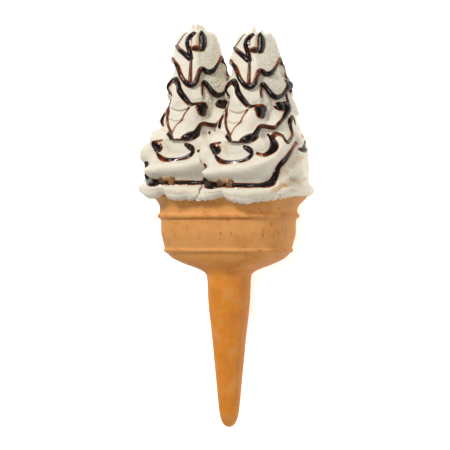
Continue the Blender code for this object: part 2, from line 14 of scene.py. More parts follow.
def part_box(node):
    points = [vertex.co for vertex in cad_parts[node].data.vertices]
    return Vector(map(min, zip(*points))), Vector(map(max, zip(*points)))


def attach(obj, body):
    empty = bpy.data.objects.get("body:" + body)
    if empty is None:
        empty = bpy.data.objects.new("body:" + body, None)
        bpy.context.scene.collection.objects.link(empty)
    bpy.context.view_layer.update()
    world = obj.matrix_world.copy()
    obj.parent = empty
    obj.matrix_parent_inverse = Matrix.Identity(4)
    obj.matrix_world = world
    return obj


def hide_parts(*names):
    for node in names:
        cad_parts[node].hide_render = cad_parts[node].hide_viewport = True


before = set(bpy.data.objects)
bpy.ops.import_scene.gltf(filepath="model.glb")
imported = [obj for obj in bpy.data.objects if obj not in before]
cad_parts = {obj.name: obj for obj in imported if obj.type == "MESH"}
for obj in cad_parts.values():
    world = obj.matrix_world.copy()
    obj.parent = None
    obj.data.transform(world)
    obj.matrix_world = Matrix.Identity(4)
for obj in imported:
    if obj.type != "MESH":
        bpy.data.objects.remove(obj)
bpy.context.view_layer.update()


# Wafer cone
# One moulded piece of baked wafer: a long cup with round ends, a bead round it and a tapered
# handle. It is dry, matt and browner where the mould touched it most.
HANDLE_LENGTH = 127.2
AXIS_HEIGHT = 30.2
CUP_HALF_SPAN = 18.0
RECESS_FLOOR = -8.9
WAFER_PROFILE = ((-8.9, 21.0, 18.0), (-7.9, 22.0, 18.0), (0.2, 25.0, 18.0), (0.5, 25.5, 18.0),
                 (0.5, 26.2, 18.0), (0.1, 26.8, 18.0), (-0.9, 26.7, 18.0), (-2.6, 25.2, 18.0),
                 (-5.2, 23.4, 18.0), (-8.6, 23.0, 18.0), (-9.5, 23.3, 18.0), (-10.4, 24.1, 18.0),
                 (-11.7, 24.1, 18.0), (-12.5, 23.2, 18.0), (-13.2, 22.4, 18.0),
                 (-21.0, 21.9, 18.0), (-27.6, 20.4, 18.0), (-28.8, 20.2, 18.0),
                 (-29.6, 20.6, 18.0), (-30.6, 20.5, 18.0), (-31.8, 19.0, 17.5),
                 (-34.6, 17.6, 15.4), (-37.4, 15.8, 10.6), (-40.0, 13.9, 4.6),
                 (-42.6, 12.6, 0.6), (-46.0, 12.1, 0.0), (-51.0, 11.9, 0.0), (-60.6, 11.4, 0.0),
                 (-72.2, 10.1, 0.0), (-87.0, 8.6, 0.0), (-101.3, 7.2, 0.0), (-112.0, 6.2, 0.0),
                 (-119.0, 5.4, 0.0), (-122.6, 4.6, 0.0), (-125.4, 3.3, 0.0), (-126.8, 1.6, 0.0))
# A row of raised marks round the band, bars and open lozenges in turn
MARK_PITCH = 7.6
MARK_LEVEL = -20.6
MARK_RISE = 0.22
BAR_HALF_WIDTH = 0.7
BAR_HALF_HEIGHT = 3.4
LOZENGE_HALF_HEIGHT = 2.8
# The first rows of the profile are the recess that the swirls fill
RECESS_ROWS = 12
BAND_TOP = -14.5
BAND_FOOT = -27.5
BEAD_LEVEL = -11.0
CORNER_LEVEL = -29.9
# Below its rim the cup leans to the left, and less so down the handle
LEAN_LEFT = 1.1
LEAN_NARROWER = 0.015


def through(points, spacing):
    """Points about one spacing apart along the smooth line through the given points."""
    p = np.array(points, dtype=float)
    p = np.vstack([2 * p[0] - p[1], p, 2 * p[-1] - p[-2]])
    line = [p[1]]
    for a, b, c, d in zip(p[:-3], p[1:-2], p[2:-1], p[3:]):
        count = max(1, round(np.linalg.norm((c - b)[:2]) / spacing))
        for t in np.arange(1, count + 1) / count:
            line.append(0.5 * (2 * b + (c - a) * t + (2 * a - 5 * b + 4 * c - d) * t ** 2
                               + (3 * b - a - 3 * c + d) * t ** 3))
    return np.array(line)


def smooth_step(x):
    """0 below 0, 1 above 1 and an even rise between."""
    t = np.clip(x, 0.0, 1.0)
    return t * t * (3 - 2 * t)


def cloud(points, size, seed):
    """Soft random field from -1 to 1 with lumps of about one size, for an array of points."""
    lattice = np.random.default_rng(seed).uniform(-1.0, 1.0, (32, 32, 32))
    place = points / size
    cell = np.floor(place).astype(int)
    share = smooth_step(place - cell)
    total = np.zeros(points.shape[:-1])
    for corner in np.ndindex(2, 2, 2):
        weight = np.prod(np.where(np.array(corner) == 1, share, 1.0 - share), axis=-1)
        i, j, k = np.moveaxis((cell + corner) % 32, -1, 0)
        total += weight * lattice[i, j, k]
    return total


def cup_ring(end_radius, half_span, turn):
    """Points (x, z) round the long cup, whose two round ends stand a span apart."""
    shift = half_span * np.tanh(3.0 * np.cos(turn))
    return np.stack([end_radius * np.cos(turn) + shift, end_radius * np.sin(turn)], axis=-1)


def from_cone(points):
    """Points of the cone in millimetres, with the rim at 0, as places in the shared frame."""
    low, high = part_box("wafer_cone")
    origin = np.array([(low.x + high.x) / 2, low.y + HANDLE_LENGTH / 1000, AXIS_HEIGHT / 1000])
    return np.asarray(points) / 1000 + origin


def grid_mesh(name, points, ends=()):
    """A mesh of rows of points that close round, shut by a point at either end."""
    rows, sides = points.shape[:2]
    index = np.arange(rows * sides).reshape(rows, sides)
    next_side = np.roll(index, -1, axis=1)
    quads = np.stack([index[:-1], index[1:], next_side[1:], next_side[:-1]], axis=-1).reshape(-1, 4)
    faces = quads.tolist()
    if len(ends):
        first, last = rows * sides, rows * sides + 1
        faces += [(first, a, b) for a, b in zip(index[0].tolist(), next_side[0].tolist())]
        faces += [(last, b, a) for a, b in zip(index[-1].tolist(), next_side[-1].tolist())]
    every = np.vstack([points.reshape(-1, 3)] + [np.reshape(end, (1, 3)) for end in ends])
    mesh = bpy.data.meshes.new(name)
    mesh.from_pydata(from_cone(every).tolist(), [], faces)
    mesh.shade_smooth()
    piece = bpy.data.objects.new(name, mesh)
    bpy.context.scene.collection.objects.link(piece)
    return piece


def note(piece, name, values):
    """Keep one number at each point of a piece for its material to read."""
    kept = piece.data.attributes.new(name, "FLOAT", "POINT")
    full = np.zeros(len(piece.data.vertices), dtype=np.float32)
    full[:values.size] = values.ravel()
    kept.data.foreach_set("value", full)


class Value:
    """A shader socket that adds nodes when it is used in an expression."""

    def __init__(self, finish, socket):
        self.finish = finish
        self.socket = socket

    def maths(self, operation, *others):
        return self.finish.node("ShaderNodeMath", {"operation": operation},
                                dict(enumerate((self, *others))))

    def __add__(self, other):
        return self.maths("ADD", other)

    def __sub__(self, other):
        return self.maths("SUBTRACT", other)

    def __rsub__(self, other):
        return self.finish.node("ShaderNodeMath", {"operation": "SUBTRACT"}, {0: other, 1: self})

    def __mul__(self, other):
        return self.maths("MULTIPLY", other)

    __radd__ = __add__
    __rmul__ = __mul__

    def between(self, low, high):
        """0 at low, 1 at high and a smooth rise between."""
        settings = {"interpolation_type": "SMOOTHSTEP"}
        return self.finish.node("ShaderNodeMapRange", settings, {0: self, 1: low, 2: high})


class Finish:
    """A Principled material, with one method for any other node."""

    def __init__(self, name, **constants):
        self.material = bpy.data.materials.new(name)
        self.material.use_nodes = True
        self.tree = self.material.node_tree
        self.surface = self.tree.nodes["Principled BSDF"]
        for socket, value in constants.items():
            self.surface.inputs[socket.replace("_", " ")].default_value = value

    def node(self, kind, settings, values, output=0):
        made = self.tree.nodes.new(kind)
        for setting, value in settings.items():
            setattr(made, setting, value)
        for socket, value in values.items():
            if isinstance(value, Value):
                self.tree.links.new(value.socket, made.inputs[socket])
            else:
                made.inputs[socket].default_value = value
        return Value(self, made.outputs[output])

    def place(self, stretch=(1.0, 1.0, 1.0)):
        """Place on the object in millimetres."""
        where = self.node("ShaderNodeTexCoord", {}, {}, "Object")
        return self.node("ShaderNodeVectorMath", {"operation": "MULTIPLY"},
                         {0: where, 1: tuple(1000.0 * s for s in stretch)})

    def noise(self, size, detail=3.0, stretch=(1.0, 1.0, 1.0), distortion=0.0):
        """Noise around 0.5 with lumps of about one size in millimetres."""
        values = {"Vector": self.place(stretch), "Scale": 1.0 / size, "Detail": detail,
                  "Distortion": distortion}
        return self.node("ShaderNodeTexNoise", {}, values, "Fac")

    def noted(self, name):
        """A number that was kept at the points of the piece."""
        return self.node("ShaderNodeAttribute", {"attribute_name": name}, {}, "Fac")

    def blend(self, share, first, second):
        """Colour between two colours."""
        values = {0: share, 6: first, 7: second}
        return self.node("ShaderNodeMix", {"data_type": "RGBA"}, values, 2)

    def feed(self, socket, value):
        self.tree.links.new(value.socket, self.surface.inputs[socket])

    def bump(self, height, distance):
        """Raise the surface by a value times a distance in millimetres."""
        values = {"Height": height, "Strength": 1.0, "Distance": distance / 1000}
        self.feed("Normal", self.node("ShaderNodeBump", {}, values))

    def on(self, piece):
        piece.data.materials.append(self.material)


def colour(red, green, blue):
    """A colour that is given as it shows on a screen, from 0 to 255."""
    shown = np.array([red, green, blue]) / 255
    linear = np.where(shown <= 0.04045, shown / 12.92, ((shown + 0.055) / 1.055) ** 2.4)
    return (*linear.tolist(), 1.0)


turn = np.linspace(0.0, 2 * math.pi, 300, endpoint=False)
profile = through(WAFER_PROFILE, 0.62)
ring = np.array([cup_ring(radius, span, turn) for _, radius, span in profile])
level = np.repeat(profile[:, :1], len(turn), axis=1)
lengths = np.linalg.norm(np.roll(ring, -1, axis=1) - ring, axis=2)
arc = np.cumsum(lengths, axis=1) - lengths
girth = lengths.sum(axis=1, keepdims=True)
pitch = girth / np.round(girth / MARK_PITCH)
place_in_row = np.floor(arc / pitch)
across = arc - (place_in_row + 0.5) * pitch
along = level - MARK_LEVEL
bar = np.maximum(np.abs(across) - BAR_HALF_WIDTH, np.abs(along) - BAR_HALF_HEIGHT)
lozenge = (np.abs(across) * 1.5 + np.abs(along) - LOZENGE_HALF_HEIGHT) * 0.6
from_mark = np.where(place_in_row % 2 == 0, bar, np.abs(lozenge) - 0.5)
marks = 1.0 - smooth_step(from_mark + 0.5)
outside = np.arange(len(profile)) > RECESS_ROWS
marks *= (outside & (profile[:, 0] < BAND_TOP) & (profile[:, 0] > BAND_FOOT))[:, None]
wafer_points = np.stack([ring[..., 0], level, ring[..., 1]], axis=-1)
uneven = 0.16 * cloud(wafer_points, 9.0, 3) + 0.07 * cloud(wafer_points, 3.1, 4)
uneven += 0.035 * cloud(wafer_points, 1.1, 5)
thick_parts = (profile[:, 1] / 20.0).clip(0.2, 1.0)[:, None]
proud = MARK_RISE * marks + uneven * thick_parts * outside[:, None]
proud *= np.minimum(profile[:, 1:2], 1.0)
ring = ring + np.stack([np.cos(turn), np.sin(turn)], axis=-1) * proud[..., None]
lean = smooth_step(-(profile[:, :1] + 2.0) / 6.0)
lean *= 1.0 - 0.5 * smooth_step(-(profile[:, :1] + 30.0) / 12.0)
sideways = ring[..., 0] * (1.0 - LEAN_NARROWER * lean) - LEAN_LEFT * lean
wafer_points = np.stack([sideways, level, ring[..., 1]], axis=-1)
wafer = grid_mesh("wafer", wafer_points, ((0, RECESS_FLOOR, 0), (0, -HANDLE_LENGTH, 0)))
bead = np.exp(-((level - BEAD_LEVEL) / 1.6) ** 2)
bead += 0.8 * np.exp(-((level - CORNER_LEVEL) / 1.3) ** 2)
note(wafer, "raised", np.clip(marks + bead * outside[:, None], 0.0, 1.0))
# Painted shade: the wafer's left and right sides, where it turns away from the camera and the light,
# are marked here to be painted darker.
note(wafer, "end", smooth_step((np.abs(np.cos(turn)) - 0.80) / 0.2) + 0 * level)
note(wafer, "down", np.clip(-level / HANDLE_LENGTH, 0.0, 1.0))

baked = Finish("baked_wafer", Roughness=0.62, IOR=1.45, Specular_IOR_Level=0.3,
               Subsurface_Weight=0.12, Subsurface_Radius=(0.0024, 0.0011, 0.0005),
               Subsurface_Scale=1.0)
down = baked.noted("down")
raised = baked.noted("raised")
mottled = baked.noise(9.0, 4.0, distortion=0.6)
speckled = baked.noise(0.55, 2.0)
body = baked.blend(down.between(0.20, 0.42), colour(230, 161, 88), colour(234, 142, 34))
body = baked.blend((mottled.between(0.45, 0.72)) * 0.45, body, colour(230, 170, 106))
body = baked.blend((1.0 - mottled.between(0.30, 0.52)) * 0.35, body, colour(196, 128, 66))
scorched = raised * baked.noise(5.5, 3.0).between(0.50, 0.66)
body = baked.blend(scorched * 0.7, body, colour(205, 128, 52))
spots = baked.noise(3.4, 2.0).between(0.665, 0.72) * (1.0 - down.between(0.28, 0.36))
body = baked.blend(spots * 0.75, body, colour(200, 112, 38))
body = baked.blend(speckled.between(0.50, 0.75) * 0.22, body, colour(160, 92, 40))
body = baked.blend(speckled.between(0.30, 0.48) * -0.16 + 0.16, body, colour(236, 190, 140))
# Painted shade: the marked left and right sides of the wafer get a darker, greyer brown.
body = baked.blend(baked.noted("end") * 0.4, body, colour(176, 120, 72))
baked.feed("Base Color", body)
baked.feed("Roughness", 0.52 + 0.2 * mottled)
baked.bump(speckled * 0.5 + baked.noise(1.7, 3.0) + baked.noise(6.0, 2.0) * 1.2, 0.16)
baked.on(wafer)
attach(wafer, "root")
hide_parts("wafer_cone")


# Vanilla swirls
# Two portions of soft serve, piped side by side on the wafer from a nozzle that leaves folds,
# a thick roll near the base and a skirt that hangs over the rim. They are pressed flat behind.
LEFT_SWIRL_X = -20.8
RIGHT_SWIRL_X = 16.2
LEFT_SWIRL_LIFT = 1.6
FACING = math.radians(30.0)
FLOOR_LEVEL = -30.2
FIT_GAP = 0.35
# The left swirl is cut back at the right one. It goes in by a hair, so that no gap shows.
TOUCHING = -0.15
OVERLAP_COLUMNS = 2
CUT_STEPS = 46
TABLE_LOW = -9.0
TABLE_HIGH = 97.0
TABLE_STEP = 0.5
UNDERSIDE = 0.85
RIM_RADIUS = 26.8
PLUG_RADIUS = 18.1
PLUG_DEPTH = 8.4
SKIRT_RADIUS = 31.6
SKIRT_OVERHANG = 3.5
LOWEST_LEVEL = -4.5
SKIRT_WIDEST = 4.5
SKIRT_BLEND = 11.0
EDGE_ROUND = 0.3
HEM = 0.8
PEAKS_FROM = 82.0
ENVELOPE = ((-4.5, 28.0), (-3.0, 30.2), (0.0, 31.4), (3.0, 31.6), (6.0, 30.2), (9.0, 29.4),
            (17.0, 29.3), (25.0, 28.7), (29.0, 27.2), (33.0, 24.4), (39.0, 21.6), (46.0, 20.2),
            (53.0, 18.8), (60.0, 17.2), (66.0, 15.8), (72.0, 14.4), (78.0, 12.7), (84.0, 10.7),
            (86.5, 10.0), (88.0, 8.8), (88.8, 6.3), (89.3, 0.0))
SKIRT_EDGE = ((-180, -1.5), (-150, -2.5), (-125, -1.0), (-95, -0.6), (-78, -1.6), (-64, -3.1),
              (-52, -2.8), (-46, -1.2), (-38, -1.2), (-33, -3.4), (-18, -4.6), (-12, -4.7),
              (0, -4.0), (20, -2.6), (32, -2.0), (45, -0.9), (58, -0.9), (80, -0.5), (110, -0.8),
              (130, -2.4), (150, -1.0), (165, -2.0), (180, -1.5))

# Folds, as lines on the front
UPPER_FOLD = ((-12.4, 73.6), (-10.5, 68.6), (-8.1, 63.1), (-3.9, 58.9), (-0.4, 60.1), (1.5, 66.3),
              (2.3, 68.6), (5.0, 66.3), (7.3, 66.3), (9.6, 69.4), (11.5, 74.4), (12.7, 72.8),
              (14.6, 68.6), (16.6, 64.8))
ARCH_FOLD = ((-16.3, 53.2), (-16.3, 57.6), (-14.7, 60.9), (-12.8, 62.0), (-11.3, 60.9),
             (-9.7, 57.1), (-7.4, 53.2), (-4.7, 49.4), (-3.1, 47.7), (-0.4, 48.5), (3.0, 47.7))
LOBE_FOLD = ((2.9, 53.2), (3.0, 61.2), (5.8, 57.6), (8.0, 54.3), (11.1, 53.2), (14.2, 55.4),
             (16.2, 60.5))
MIDDLE_FOLD = ((-12.9, 29.0), (-8.5, 29.0), (-3.1, 30.7), (0.7, 35.4), (2.6, 37.7), (5.7, 36.5),
               (9.6, 36.5), (11.8, 38.4), (14.2, 41.7), (16.2, 45.5), (16.6, 51.6), (17.0, 56.2))
ROLL_TOP = ((-24.0, 22.5), (-22.1, 20.0), (-19.0, 18.0), (-12.9, 18.0), (-6.6, 18.4), (-2.8, 20.0),
            (1.1, 22.0), (5.7, 22.2), (8.4, 23.8), (10.0, 27.7), (9.0, 32.0))
ROLL_CREST = ((-25.0, 12.4), (-15.1, 13.4), (-6.9, 14.4), (-1.4, 15.9), (4.1, 17.7), (8.6, 20.3),
              (12.2, 23.9), (13.8, 28.8), (12.6, 32.4))
BASE_CREASE = ((-27.6, 12.4), (-26.9, 8.2), (-24.2, 5.6), (-20.0, 4.8), (-10.5, 4.8), (2.5, 4.8),
               (6.3, 5.7), (10.0, 8.4), (11.8, 12.2), (13.9, 16.1), (17.3, 20.0), (21.2, 24.6),
               (23.9, 29.2))
FLAKY_RIDGE = ((15.7, 7.0), (20.1, 14.2), (23.9, 21.3))
RIGHT_CREASE = ((11.8, 1.5), (20.1, 9.2))
SKIRT_CREASE = ((-29.0, 0.2), (-18.0, -0.9), (-6.0, -1.2), (6.0, -0.9), (16.0, 0.6))
TIER_HIGH = ((-14.6, 46.6), (-11.5, 45.4), (-8.0, 45.2), (-5.2, 46.4))
TIER_LOW = ((-15.0, 40.4), (-12.0, 39.4), (-8.6, 39.9))
TOOTH_RIDGE = ((-0.8, 88.0), (-1.0, 84.0), (-1.4, 80.6))
NOTCH_RIDGE = ((4.2, 56.6), (6.6, 52.6), (8.2, 47.4))
LOBE_STREAK = ((14.4, 68.6), (17.4, 64.2), (18.4, 62.6))
LUMP_EDGE = ((-26.0, 34.2), (-22.5, 35.4), (-18.5, 34.4), (-15.5, 32.6))
LOWER_LOBE = ((19.6, 9.6), (22.6, 8.4), (26.4, 9.8))

# Folds round the back, as (angle from the front, height)
BACK_FOLDS = (((95, 30.5), (135, 34.0), (180, 34.5), (225, 33.0), (268, 29.5)),
              ((80, 45.5), (120, 43.0), (180, 46.0), (230, 50.0), (285, 54.0)),
              ((78, 63.0), (130, 62.0), (180, 67.0), (235, 70.0), (290, 73.6)))
BACK_CREASE = ((95, 8.0), (135, 9.0), (180, 10.5), (225, 9.0), (270, 8.5))

# Relief along a line: line, on the front, rise, reach above, reach below, whether it is a step
RELIEF = ((UPPER_FOLD, True, 1.2, 6.0, 3.5, True), (LOBE_FOLD, True, 1.3, 5.0, 3.0, True),
          (ARCH_FOLD, True, -0.9, 1.6, 1.6, False), (MIDDLE_FOLD, True, 1.5, 5.0, 4.0, True),
          (ROLL_TOP, True, -2.0, 5.0, 1.8, False), (ROLL_CREST, True, 3.2, 3.6, 4.6, False),
          (BASE_CREASE, True, -3.0, 4.5, 1.8, False), (FLAKY_RIDGE, True, 2.0, 2.1, 2.1, False),
          (RIGHT_CREASE, True, -1.2, 1.6, 1.6, False), (SKIRT_CREASE, True, -0.22, 0.6, 0.6, False),
          (TIER_HIGH, True, 1.0, 4.0, 3.0, True), (TIER_LOW, True, 0.7, 3.0, 3.0, True),
          (TOOTH_RIDGE, True, 1.1, 1.3, 1.3, False), (NOTCH_RIDGE, True, 1.0, 1.4, 1.4, False),
          (LOBE_STREAK, True, 0.8, 1.2, 1.2, False), (LOWER_LOBE, True, 1.2, 3.0, 2.0, True),
          (LUMP_EDGE, True, -2.0, 2.4, 3.2, True),
          (BACK_FOLDS[0], False, 1.4, 5.0, 4.0, True), (BACK_FOLDS[1], False, 1.4, 5.0, 4.0, True),
          (BACK_FOLDS[2], False, 1.1, 5.0, 3.5, True), (BACK_CREASE, False, -1.2, 2.2, 2.2, False))

# Lumps and hollows: sideways, height, half width, half height and proud height
LUMPS = ((-1.1, 83.5, 2.0, 4.5, 1.8), (8.8, 78.0, 5.5, 10.0, 1.3), (10.7, 62.0, 6.0, 6.0, 1.5),
         (-4.7, 68.0, 4.5, 8.0, 0.7), (0.0, 69.2, 1.6, 8.0, 0.9), (-10.2, 52.7, 5.2, 5.5, 2.2),
         (-3.6, 41.7, 4.0, 5.5, 2.2), (5.2, 42.5, 2.6, 4.0, -1.8), (5.0, 32.3, 2.2, 2.6, -1.5),
         (8.0, 45.4, 3.4, 5.0, -2.3), (-22.5, 29.8, 4.4, 3.4, 2.4), (-13.0, 24.0, 8.0, 4.5, -2.2),
         (-27.6, 21.4, 4.3, 5.0, 3.9), (-23.4, 10.8, 3.8, 3.9, 3.9), (24.0, 13.7, 4.5, 6.5, 1.0))
# Lumps and hollows anywhere round it: degrees, height, half width, half height, proud height
ROUND_LUMPS = ((-90.0, 50.5, 14.0, 7.5, -3.3), (-90.0, 66.5, 12.0, 5.0, -2.2),
               (85.0, 44.5, 13.0, 13.5, 2.4), (80.0, 59.0, 6.0, 4.0, 1.5), (74.0, 66.0, 6.0, 3.0, -1.0),
               (75.0, 83.0, 8.0, 4.5, 0.5), (150.0, 21.0, 15.0, 17.0, 5.0))

# Notches in the left swirl's outer side, in the same form
LEFT_NOTCHES = ((-88.0, 36.8, 9.0, 1.9, -2.6), (-88.0, 28.6, 8.0, 2.0, -1.4))

# Where the skirt hangs out further: degrees from the front, half width and how far
LEFT_HANGS = ((22.0, 9.0, 2.6), (-88.0, 24.0, 1.9))
RIGHT_HANGS = ((88.0, 20.0, 0.9),)

# Peaks left by the nozzle: sideways, forward, reach and rise
RIGHT_PEAKS = ((-0.9, 2.6, 0.9, 5.4), (-2.0, 1.2, 1.6, 2.2), (3.6, 1.6, 1.0, 2.9),
               (7.8, 0.2, 1.0, 1.2), (-3.8, -2.4, 2.4, 1.2))
LEFT_PEAKS = ((-2.3, 0.4, 1.0, 4.6), (0.3, 0.2, 0.9, 3.2), (2.7, 0.3, 1.0, 4.2),
              (0.2, 0.0, 3.0, 1.4), (7.2, 0.0, 1.7, 0.8), (-3.8, -2.4, 2.4, 1.2))
# Each swirl: place of its axis, how much higher it sits, its peaks and the seed of its grain
SWIRLS = {"right": (RIGHT_SWIRL_X, 0.0, RIGHT_PEAKS, 20),
          "left": (LEFT_SWIRL_X, LEFT_SWIRL_LIFT, LEFT_PEAKS, 40)}

# Where the sauce was poured, which keeps the cream under it smooth. Each line on the front is
# (sideways, height, half width).
FRONT_SAUCE = (
    ((-2.9, 88.7, 0.3), (-5.8, 88.2, 0.3), (-8.4, 85.4, 0.35), (-10.6, 82.2, 0.4)),
    ((-1.3, 87.9, 0.9), (-3.9, 85.6, 1.6), (-4.7, 82.9, 1.9), (-4.4, 80.0, 1.4),
     (-3.9, 76.8, 1.0), (-3.7, 74.0, 1.2)),
    ((2.4, 88.0, 1.4), (2.8, 85.2, 1.7), (2.8, 82.0, 1.6), (2.3, 79.2, 1.3)),
    ((-11.3, 81.0, 0.9), (-9.2, 78.5, 1.1), (-6.5, 76.1, 1.1), (-3.9, 73.7, 1.1)),
    ((-3.2, 73.6, 0.6), (-3.2, 71.4, 0.65), (-3.3, 67.2, 0.75), (-3.6, 60.9, 0.8)),
    ((-12.9, 73.7, 1.2), (-10.7, 69.4, 1.45), (-9.2, 65.8, 1.4), (-7.2, 61.8, 1.3),
     (-3.7, 59.0, 1.25), (-0.7, 60.9, 1.05), (0.4, 64.4, 0.9), (1.5, 67.8, 0.95),
     (3.1, 68.1, 0.95), (5.3, 66.3, 1.2), (8.0, 67.1, 1.2), (10.0, 70.4, 0.95),
     (11.6, 74.4, 1.15), (13.3, 72.1, 0.5), (14.9, 69.4, 0.6), (17.4, 64.6, 0.4)),
    ((-16.9, 53.6, 0.5), (-17.0, 58.0, 0.8), (-15.2, 61.4, 1.2), (-13.0, 62.2, 1.5),
     (-10.9, 60.1, 1.4), (-9.2, 56.3, 1.3), (-6.6, 52.1, 1.2), (-4.1, 48.9, 1.0),
     (-2.0, 48.6, 0.7), (0.6, 49.0, 0.6), (3.0, 48.8, 0.8)),
    ((2.8, 53.6, 0.4), (2.6, 56.8, 0.6), (3.2, 60.1, 1.0), (4.3, 60.4, 1.0),
     (6.0, 58.0, 0.95), (8.0, 55.4, 1.15), (10.7, 53.6, 1.2), (13.1, 54.6, 1.0),
     (14.2, 57.0, 0.9), (15.2, 59.6, 1.2), (15.6, 62.0, 1.2)),
    ((15.6, 62.2, 1.2), (16.1, 60.0, 2.3), (16.6, 57.6, 1.3), (16.9, 56.0, 0.5)),
    ((15.4, 57.8, 0.8), (15.7, 54.0, 0.6), (15.9, 50.8, 0.8), (15.9, 47.4, 1.6),
     (14.9, 44.2, 1.2), (13.6, 41.2, 1.0), (12.0, 38.9, 1.0), (10.4, 37.1, 1.0),
     (6.9, 37.2, 0.95), (3.9, 37.8, 0.95), (2.1, 37.3, 1.0), (0.8, 35.1, 1.1),
     (-1.0, 32.6, 1.2), (-5.0, 30.2, 1.0), (-8.5, 29.1, 0.6), (-13.6, 29.2, 0.5)),
    ((-17.3, 47.6, 0.6), (-16.5, 43.1, 1.0), (-16.8, 39.6, 0.75), (-16.4, 36.2, 0.75),
     (-15.1, 33.1, 0.8), (-13.8, 30.0, 0.9)),
    ((-16.5, 51.6, 0.4), (-17.3, 48.0, 0.6), (-18.2, 44.4, 1.0), (-19.4, 40.3, 1.2),
     (-20.2, 37.6, 1.1)),
    ((-4.3, 46.6, 0.45), (-6.5, 43.1, 0.45), (-7.9, 40.3, 0.4), (-11.3, 37.4, 0.4),
     (-13.2, 34.3, 0.4), (-13.9, 32.0, 0.45)),
    ((-6.7, 26.3, 0.9), (-4.9, 25.4, 1.3), (-3.1, 24.2, 1.3), (-2.4, 22.3, 0.75)),
    ((0.8, 22.8, 0.7), (4.4, 21.9, 0.9), (7.6, 23.5, 1.2), (9.6, 25.9, 1.5),
     (9.9, 28.6, 1.5), (8.8, 31.4, 1.1), (7.3, 33.1, 0.6)),
    ((9.3, 31.6, 0.9), (10.6, 33.5, 0.9), (13.0, 32.4, 0.75), (14.3, 30.1, 0.7),
     (16.2, 28.9, 0.95), (18.4, 29.6, 0.95), (20.0, 31.7, 0.9), (19.6, 34.1, 0.95),
     (18.4, 37.0, 1.0), (17.8, 40.3, 1.3), (18.5, 43.0, 0.9)),
    ((18.9, 43.2, 0.5), (19.5, 41.0, 0.5), (20.1, 38.8, 0.3)),
    ((-19.0, 28.8, 0.5), (-21.2, 28.3, 0.5), (-23.0, 27.4, 0.7), (-24.2, 24.6, 0.75),
     (-23.0, 21.1, 0.8), (-20.2, 18.8, 1.1), (-16.8, 18.0, 0.95), (-11.3, 18.3, 0.75),
     (-7.2, 19.0, 0.85), (-4.1, 20.4, 1.0), (-2.4, 22.2, 0.8)),
    ((-28.4, 12.4, 0.5), (-28.2, 9.4, 1.1), (-26.6, 6.4, 1.7), (-23.4, 5.2, 1.9),
     (-19.5, 5.6, 1.5), (-16.8, 5.5, 1.3), (-9.9, 5.5, 1.1), (-3.0, 5.4, 1.1),
     (1.8, 5.4, 1.05), (5.7, 5.7, 1.45), (8.6, 6.7, 1.5), (10.3, 8.8, 1.45),
     (11.8, 12.1, 1.35), (13.1, 15.5, 1.3), (15.2, 18.0, 1.35), (17.6, 20.2, 1.1),
     (19.8, 22.7, 0.9), (22.2, 25.9, 0.7), (24.0, 28.9, 0.75)),
    ((-26.6, 17.0, 0.4), (-27.4, 16.0, 0.75), (-28.3, 14.1, 0.4)),
    ((26.3, 29.4, 0.6), (26.2, 27.4, 0.6), (26.1, 25.6, 1.2)),
    ((23.9, 33.4, 0.25), (24.3, 32.6, 0.4), (24.8, 31.6, 0.25)),
)

# The same round the back, as (angle from the front, height, half width)
BACK_SAUCE = (
    ((118, 42.0, 0.5), (138, 37.0, 1.3), (158, 45.0, 0.9), (176, 36.5, 1.4), (198, 47.0, 0.9),
     (222, 41.0, 1.2)),
    ((120, 63.5, 0.6), (142, 56.5, 1.3), (166, 68.0, 0.9), (190, 60.0, 1.3), (214, 72.0, 0.9),
     (240, 66.0, 1.1)),
    ((140, 84.0, 0.7), (160, 77.0, 1.3), (182, 82.5, 1.0), (204, 76.5, 0.8)),
)

# Drops and pools: sideways, height, half width, half height, thickness and lean in degrees
DROPS = ((2.9, 46.8, 3.9, 3.2, 1.7, 0.0), (3.1, 44.8, 3.2, 3.2, 1.5, 0.0),
         (13.1, 48.6, 2.8, 2.6, 1.5, 0.0), (15.4, 48.6, 2.4, 2.9, 1.6, 0.0),
         (26.4, 25.0, 2.2, 1.6, 1.3, 0.0),
         (-3.4, 31.1, 5.4, 2.6, 1.5, 16.0), (-22.2, 25.2, 2.4, 2.9, 1.5, 0.0),
         (-0.5, 79.4, 2.5, 1.8, 1.4, 0.0), (-25.6, 6.2, 2.8, 2.2, 1.1, 0.0))
SAUCE_WIDER = 1.30
SAUCE_SHARE = 0.85

# Caramel streaks in the cream, by the skirt and on the left fold: strength, half width, line
STREAKS = (
    (0.8, 0.8, ((21.2, 19.5), (24.0, 20.9))),
    (0.45, 0.7, ((20.5, 17.9), (18.7, 14.7))),
    (0.9, 0.9, ((16.2, 12.9), (16.5, 12.4))),
    (0.6, 0.9, ((20.8, 9.0), (23.0, 7.2), (25.4, 7.9), (27.2, 9.2))),
    (1.0, 1.7, ((10.4, 2.5), (12.9, 4.0), (16.8, 5.4))),
    (0.5, 1.2, ((19.6, 2.0), (21.0, 0.6))),
    (0.5, 0.8, ((-19.2, 27.8), (-17.6, 25.4), (-16.9, 22.6))),
    (0.3, 0.6, ((-30.0, 0.4), (-14.0, 0.0), (-2.0, 0.2), (9.0, 1.2))),
)


def smooth_curve(knots, x):
    """Height at x of the smooth curve through the knots, which never overshoots them."""
    kx, ky = np.array(knots, dtype=float).T
    steps = np.diff(kx)
    slopes = np.diff(ky) / steps
    tangents = np.empty(len(kx))
    tangents[0], tangents[-1] = slopes[0], slopes[-1]
    before, after = slopes[:-1], slopes[1:]
    same_way = before * after > 0
    total = np.where(same_way, before + after, 1.0)
    tangents[1:-1] = np.where(same_way, 2 * before * after / total, 0.0)
    i = np.clip(np.searchsorted(kx, x) - 1, 0, len(steps) - 1)
    t = np.clip((x - kx[i]) / steps[i], 0.0, 1.0)
    start = (1 + 2 * t) * (1 - t) ** 2 * ky[i] + t * (1 - t) ** 2 * steps[i] * tangents[i]
    end = t * t * (3 - 2 * t) * ky[i + 1] + t * t * (t - 1) * steps[i] * tangents[i + 1]
    return start + end


